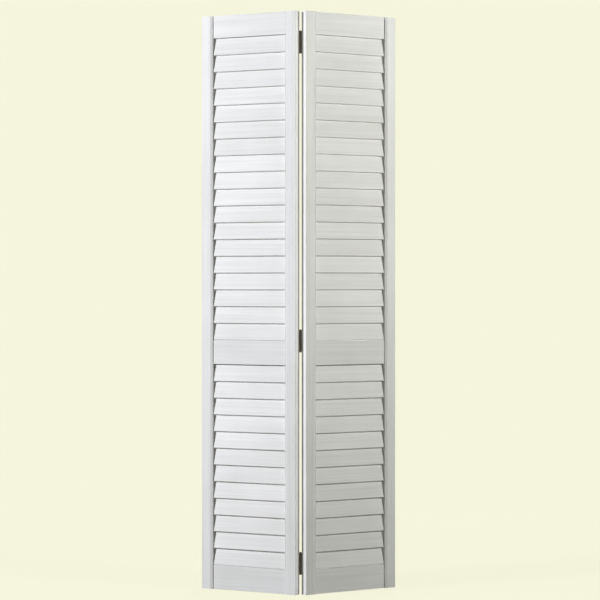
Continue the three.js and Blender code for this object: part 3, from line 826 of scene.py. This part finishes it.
def stud_mesh():
    """A steel stud with a plain point and a rolled thread, which fades out at both its ends."""
    def plain(radius, height):
        return [(radius, height)] * ROUND_STEPS

    low, high = STUD_ENDS
    point, neck = STUD_POINT[0], low + STUD_POINT[1]
    rings = [plain(0.0, low), plain(point - STUD_TIP[0], low), plain(point, low + STUD_TIP[1]),
             plain(point, neck)]
    rows = int((high - neck - 2 * THREAD_MARGIN) / (THREAD_PITCH / THREAD_ROWS))
    for row in range(rows + 1):
        height = neck + THREAD_MARGIN + row * THREAD_PITCH / THREAD_ROWS
        fade = min(1.0, row / THREAD_ROWS, (rows - row) / THREAD_ROWS)
        ring = []
        for step in range(ROUND_STEPS):
            phase = (height / THREAD_PITCH - step / ROUND_STEPS) % 1
            ridge = 1 - abs(2 * phase - 1)
            ring.append((STUD_RADIUS - THREAD_DEPTH * (1 - ridge * fade), height))
        rings.append(ring)
    rings += [plain(STUD_RADIUS - THREAD_DEPTH - STUD_CHAMFER, high), plain(0.0, high)]
    form = bmesh.new()
    ring_faces(form, [[round_point((PIVOT_LINE, MID_DEPTH, 0), radius, height, step, ROUND_STEPS)
                       for step, (radius, height) in enumerate(ring)] for ring in rings])
    return mesh_of(form)


wound = spring_tree()
for pivot, leaf, side, pin in (("top_pivot", "pivot_leaf", -1, "top_pivot_pin"),
                               ("track_guide", "lead_leaf", 1, "track_guide_pin")):
    piece(pivot + "_sleeve_moulded", lathe(sleeve_profile(), SLEEVE_EDGE), side, nylon, "nylon",
          leaf, pivot + "_sleeve")
    piece(pivot + "_plunger_turned", lathe(plunger_profile(), PLUNGER_EDGE), side, zinc_plate,
          "spring_steel", pin, pivot + "_plunger")
    low, high = SPRING_ENDS
    spring = grown(wound, {
        "Radius": (SLEEVE_BORE - FIT - SPRING_WIRE / 2) * MM, "Wire": SPRING_WIRE / 2 * MM,
        "Height": (high - low - SPRING_WIRE) * MM, "Turns": float(SPRING_TURNS),
        "Foot": (PIVOT_LINE * MM, MID_DEPTH * MM, (low + SPRING_WIRE / 2) * MM),
        "Finish": spring_wire})
    centre = leaf_place(side) @ Vector((PIVOT_LINE * MM, MID_DEPTH * MM, 0))
    piece(pivot + "_spring_wound", spring, side, spring_wire, "spring_steel",
          (leaf, pin, (centre.x, centre.y, low * MM), (centre.x, centre.y, high * MM)),
          pivot + "_spring")

inner, outer, (low, high) = STUD_SLEEVE_BORE, STUD_SLEEVE_RADIUS, STUD_SLEEVE_ENDS
piece("bottom_pivot_sleeve_moulded",
      lathe([(inner, low), (outer, low), (outer, high), (inner, high)], SLEEVE_EDGE),
      LEAVES["pivot_leaf"], nylon, "nylon", "pivot_leaf", "bottom_pivot_sleeve")
piece("bottom_pivot_stud_threaded", stud_mesh(), LEAVES["pivot_leaf"], zinc_plate, "spring_steel",
      "bottom_pivot", "bottom_pivot_stud")


# Floor, lights and camera, in metres.
BACKDROP = "#f5f5dd"
FLOOR_RADIUS = 3.4
FLOOR_FADE = (0.9, 3.2)
FLOOR_DROP = 0.0004

# Each light: degrees to the right of the room's side, distance, height, height aimed at, size,
# watts, colour.
LIGHTS = {
    "left_softbox": (-64, 5.5, 2.82, -1.3, (0.73, 0.98), 330, "#f9faff"),
    "right_softbox": (60, 3.8, 2.2, 2.6, (0.6, 0.8), 107, "#fdfef8"),
    "closet_side_softbox": (168, 4.5, 2.2, 0.9, (1.4, 1.4), 90, "#fffef9"),
    "overhead_softbox": (180, 0.35, 5.0, 0.0, (0.6, 0.6), 46, "#fffef9"),
}

# The photo's view. Sensor and lens are in millimetres. The camera stands a little to the left of
# the room's side, at its distance from the fold's foremost edge, APEX_Y, and is tipped down and
# turned back a little. The three angles are in degrees.
SENSOR_WIDTH = 36
LENS = 131.16
CAMERA_TURN = 2.2
CAMERA_DISTANCE = 7.5
CAMERA_HEIGHT = 1.067
CAMERA_TIP = 0.404
CAMERA_TURN_BACK = 0.02
APEX_Y = -0.1064


def pale_floor():
    """Matt pale floor that fades into the backdrop, so that no horizon shows, and lends the door
    no light."""
    finish, tree, shader, place = new_finish(
        "pale_studio_floor", Roughness=0.9, Specular_IOR_Level=0.0, Base_Color=linear("#4d4d44"),
        Emission_Color=linear(BACKDROP), Emission_Strength=0.915)
    reach = add_node(tree, "ShaderNodeVectorMath", {0: place}, operation="LENGTH")
    fade = add_node(tree, "ShaderNodeMapRange", {
        "Value": reach.outputs["Value"], "From Min": FLOOR_FADE[0], "From Max": FLOOR_FADE[1],
        "To Min": 1.0, "To Max": 0.0}, interpolation_type="SMOOTHSTEP")
    tree.links.new(fade.outputs[0], shader.inputs["Alpha"])
    form = bmesh.new()
    bmesh.ops.create_circle(form, cap_ends=True, segments=96, radius=FLOOR_RADIUS)
    floor = linked(mesh_of(form), "pale_floor")
    floor.data.materials.append(finish)
    floor.location.z = -FLOOR_DROP
    floor.visible_diffuse = floor.visible_glossy = False


def room_light():
    """The cream backdrop that the camera sees, and the room's own dim, even light."""
    world = bpy.data.worlds.new("studio")
    world.use_nodes = True
    tree = world.node_tree
    tree.nodes.clear()
    room = add_node(tree, "ShaderNodeBackground", {"Color": linear("#fffff6"), "Strength": 0.12})
    seen = add_node(tree, "ShaderNodeBackground", {"Color": linear(BACKDROP), "Strength": 1.0})
    path = add_node(tree, "ShaderNodeLightPath")
    both = add_node(tree, "ShaderNodeMixShader", {
        0: path.outputs["Is Camera Ray"], 1: room.outputs[0], 2: seen.outputs[0]})
    add_node(tree, "ShaderNodeOutputWorld", {"Surface": both.outputs[0]})
    bpy.context.scene.world = world


def softbox(name, place, target, size, power, colour):
    """A rectangular soft light aimed at a point."""
    lamp = bpy.data.lights.new(name, "AREA")
    lamp.shape = "RECTANGLE"
    lamp.size, lamp.size_y = size
    lamp.energy = power
    lamp.color = linear(colour)[:3]
    made = linked(lamp, name)
    made.location = place
    made.rotation_euler = (Vector(target) - Vector(place)).to_track_quat("-Z", "Y").to_euler()


pale_floor()
room_light()
for name, (turn, away, height, aim, size, power, colour) in LIGHTS.items():
    around = math.radians(turn)
    softbox(name, (away * math.sin(around), -away * math.cos(around), height), (0, 0, aim), size,
            power, colour)

camera = bpy.data.cameras.new("photo_camera")
camera.sensor_width = SENSOR_WIDTH
camera.lens = LENS
camera_object = linked(camera, "photo_camera")
leftward = math.radians(CAMERA_TURN)
camera_object.location = (-CAMERA_DISTANCE * math.sin(leftward),
                          APEX_Y - CAMERA_DISTANCE * math.cos(leftward), CAMERA_HEIGHT)
camera_object.rotation_euler = (math.radians(90 - CAMERA_TIP), 0,
                                math.radians(CAMERA_TURN_BACK) - leftward)
bpy.context.scene.camera = camera_object
bpy.context.scene.view_settings.view_transform = "Standard"
